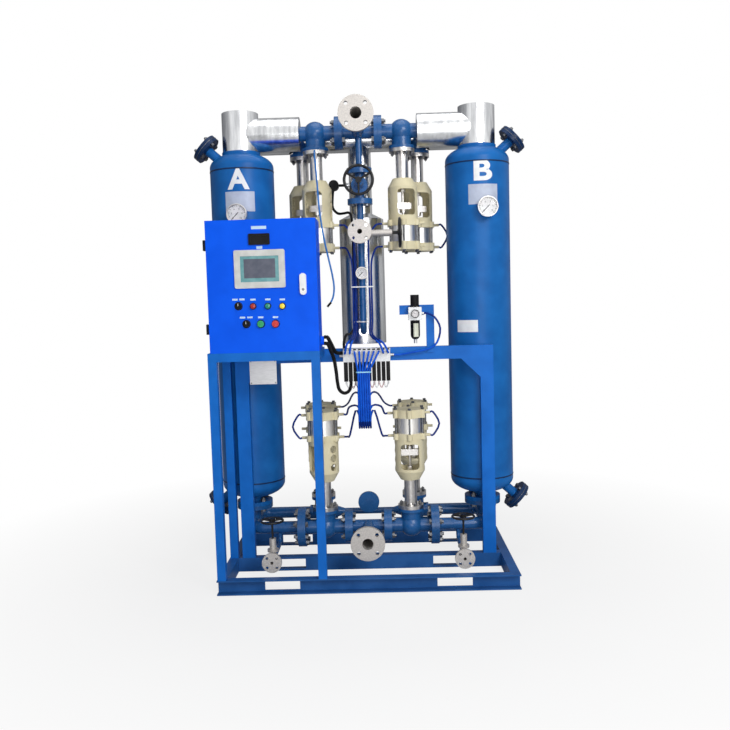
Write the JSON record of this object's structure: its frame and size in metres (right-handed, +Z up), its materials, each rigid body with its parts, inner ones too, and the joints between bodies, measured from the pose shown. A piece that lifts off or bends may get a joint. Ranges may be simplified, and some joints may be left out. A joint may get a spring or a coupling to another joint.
{
  "type": "desiccant air dryer",
  "caption": "Skid-mounted desiccant air dryer: tall adsorption towers joined by piped, piston-actuated valves, a clad heater, hand valves, gauges and a control cabinet.",
  "frame": {"origin": "middle of the skid's underside, on the floor", "axes": "+X to the right seen from the front, +Y to the back, +Z up"},
  "size_m": [1.6878, 0.848, 2.322],
  "materials": {
    "blue_paint": "gloss enamel",
    "cabinet_paint": "powder coat",
    "cream_paint": "satin enamel",
    "stainless": "machined",
    "polished_sheet": "mirror sheet",
    "black_paint": "satin",
    "black_plastic": "matt",
    "grey_plastic": "matt",
    "white_plastic": "gloss",
    "lamp_plastic": "gloss",
    "green_plastic": "gloss",
    "red_plastic": "gloss",
    "hose_blue": "gloss",
    "cable_black": "matt",
    "aluminium_block": "satin",
    "beads": "bead bed",
    "bolt_steel": "zinc plated"
  },
  "bodies": {
    "frame": {"base_skid": "blue_paint", "support_portal": "blue_paint", "cabinet_stand": "blue_paint", "tower_a_vessel": "blue_paint", "tower_b_vessel": "blue_paint", "service_port_covers": "blue_paint", "top_pipes": "blue_paint", "main_headers": "blue_paint", "lower_links": "blue_paint", "exhaust_header": "blue_paint", "valve_bodies": "blue_paint", "purge_pipe": "blue_paint", "purge_valve_body": "blue_paint", "cabinet_box": "cabinet_paint", "valve_yokes": "cream_paint", "actuator_caps": "cream_paint", "bed_screens": "stainless", "heater_elements": "stainless", "port_flanges": "stainless", "valve_bonnets": "stainless", "actuator_barrels": "stainless", "test_valve_body": "stainless", "drain_valve_bodies": "stainless", "gauge_cases": "stainless", "riser_cladding": "polished_sheet", "regen_header_cladding": "polished_sheet", "heater_shell": "polished_sheet", "control_gear": "grey_plastic", "pilot_hoses": "hose_blue", "hanging_hose": "hose_blue", "control_cables": "cable_black", "regulator_unit": "aluminium_block", "solenoid_manifold": "aluminium_block", "desiccant_beds": "beads", "flange_bolts": "bolt_steel"},
    "door": {"cabinet_door": "cabinet_paint", "hmi_panel": "grey_plastic", "panel_meter": "black_plastic", "pilot_lamps": "lamp_plastic"},
    "door_handle": {"door_handle": "white_plastic"},
    "mode_selector": {"mode_selector": "black_plastic"},
    "power_selector": {"power_selector": "black_plastic"},
    "start_button": {"start_button": "green_plastic"},
    "stop_button": {"stop_button": "red_plastic"},
    "purge_handwheel": {"purge_handwheel": "black_paint"},
    "test_handwheel": {"test_handwheel": "black_paint"},
    "drain_handwheel_a": {"drain_handwheel_a": "black_paint"},
    "drain_handwheel_b": {"drain_handwheel_b": "black_paint"},
    "regulator_knob": {"regulator_knob": "black_plastic"},
    "inlet_stem_a": {"inlet_stem_a": "stainless"},
    "inlet_stem_b": {"inlet_stem_b": "stainless"},
    "exhaust_stem_a": {"exhaust_stem_a": "stainless"},
    "exhaust_stem_b": {"exhaust_stem_b": "stainless"},
    "outlet_stem_a": {"outlet_stem_a": "stainless"},
    "outlet_stem_b": {"outlet_stem_b": "stainless"},
    "regen_stem_a": {"regen_stem_a": "stainless"},
    "regen_stem_b": {"regen_stem_b": "stainless"},
    "gauge_needle_a": {"gauge_needle_a": "black_paint"},
    "gauge_needle_b": {"gauge_needle_b": "black_paint"},
    "gauge_needle_line": {"gauge_needle_line": "black_paint"}
  },
  "joints": [
    {"name": "door_hinge", "type": "hinge", "parent": "frame", "child": "door", "pos_m": [-0.6993, -0.39, 1.4], "axis": [0, 0, -1], "range_deg": [0, 110]},
    {"name": "handle_turn", "type": "hinge", "parent": "door", "child": "door_handle", "pos_m": [-0.256, -0.4, 1.44], "axis": [0, -1, 0], "range_deg": [0, 90]},
    {"name": "mode_turn", "type": "hinge", "parent": "door", "child": "mode_selector", "pos_m": [-0.553, -0.4, 1.348], "axis": [0, -1, 0], "range_deg": [-45, 45]},
    {"name": "power_turn", "type": "hinge", "parent": "door", "child": "power_selector", "pos_m": [-0.52, -0.4, 1.266], "axis": [0, -1, 0], "range_deg": [-45, 45]},
    {"name": "start_press", "type": "slide", "parent": "door", "child": "start_button", "axis": [0, 1, 0], "range_m": [0, 0.005], "stiffness_N_per_m": 800},
    {"name": "stop_press", "type": "slide", "parent": "door", "child": "stop_button", "axis": [0, 1, 0], "range_m": [0, 0.005], "stiffness_N_per_m": 800},
    {"name": "purge_wheel_turn", "type": "hinge", "parent": "frame", "child": "purge_handwheel", "pos_m": [0, -0.096, 1.94], "axis": [0, -1, 0], "range_deg": [0, 1440]},
    {"name": "test_wheel_turn", "type": "hinge", "parent": "frame", "child": "test_handwheel", "pos_m": [0.196, -0.01, 1.689], "axis": [1, 0, 0], "range_deg": [0, 1440]},
    {"name": "drain_wheel_turn_a", "type": "hinge", "parent": "frame", "child": "drain_handwheel_a", "pos_m": [-0.46, -0.252, 0.312], "axis": [0, 0, 1], "range_deg": [0, 1080]},
    {"name": "drain_wheel_turn_b", "type": "hinge", "parent": "frame", "child": "drain_handwheel_b", "pos_m": [0.46, -0.252, 0.312], "axis": [0, 0, 1], "range_deg": [0, 1080]},
    {"name": "regulator_turn", "type": "hinge", "parent": "frame", "child": "regulator_knob", "pos_m": [0.258, -0.094, 1.35], "axis": [0, 0, 1], "range_deg": [0, 1080]},
    {"name": "inlet_travel_a", "type": "slide", "parent": "frame", "child": "inlet_stem_a", "axis": [0, 0, 1], "range_m": [0, 0.02]},
    {"name": "inlet_travel_b", "type": "slide", "parent": "frame", "child": "inlet_stem_b", "axis": [0, 0, 1], "range_m": [0, 0.02]},
    {"name": "exhaust_travel_a", "type": "slide", "parent": "frame", "child": "exhaust_stem_a", "axis": [0, 0, 1], "range_m": [0, 0.02]},
    {"name": "exhaust_travel_b", "type": "slide", "parent": "frame", "child": "exhaust_stem_b", "axis": [0, 0, 1], "range_m": [0, 0.02]},
    {"name": "outlet_travel_a", "type": "slide", "parent": "frame", "child": "outlet_stem_a", "axis": [0, 0, -1], "range_m": [0, 0.02]},
    {"name": "outlet_travel_b", "type": "slide", "parent": "frame", "child": "outlet_stem_b", "axis": [0, 0, -1], "range_m": [0, 0.02]},
    {"name": "regen_travel_a", "type": "slide", "parent": "frame", "child": "regen_stem_a", "axis": [0, 0, -1], "range_m": [0, 0.02]},
    {"name": "regen_travel_b", "type": "slide", "parent": "frame", "child": "regen_stem_b", "axis": [0, 0, -1], "range_m": [0, 0.02]},
    {"name": "needle_turn_a", "type": "hinge", "parent": "frame", "child": "gauge_needle_a", "pos_m": [-0.602, -0.06, 1.797], "axis": [0, 1, 0], "range_deg": [0, 270]},
    {"name": "needle_turn_b", "type": "hinge", "parent": "frame", "child": "gauge_needle_b", "pos_m": [0.627, -0.06, 1.797], "axis": [0, 1, 0], "range_deg": [0, 270]},
    {"name": "needle_turn_line", "type": "hinge", "parent": "frame", "child": "gauge_needle_line", "pos_m": [0, 0.08, 1.496], "axis": [0, 1, 0], "range_deg": [0, 270]}
  ]
}
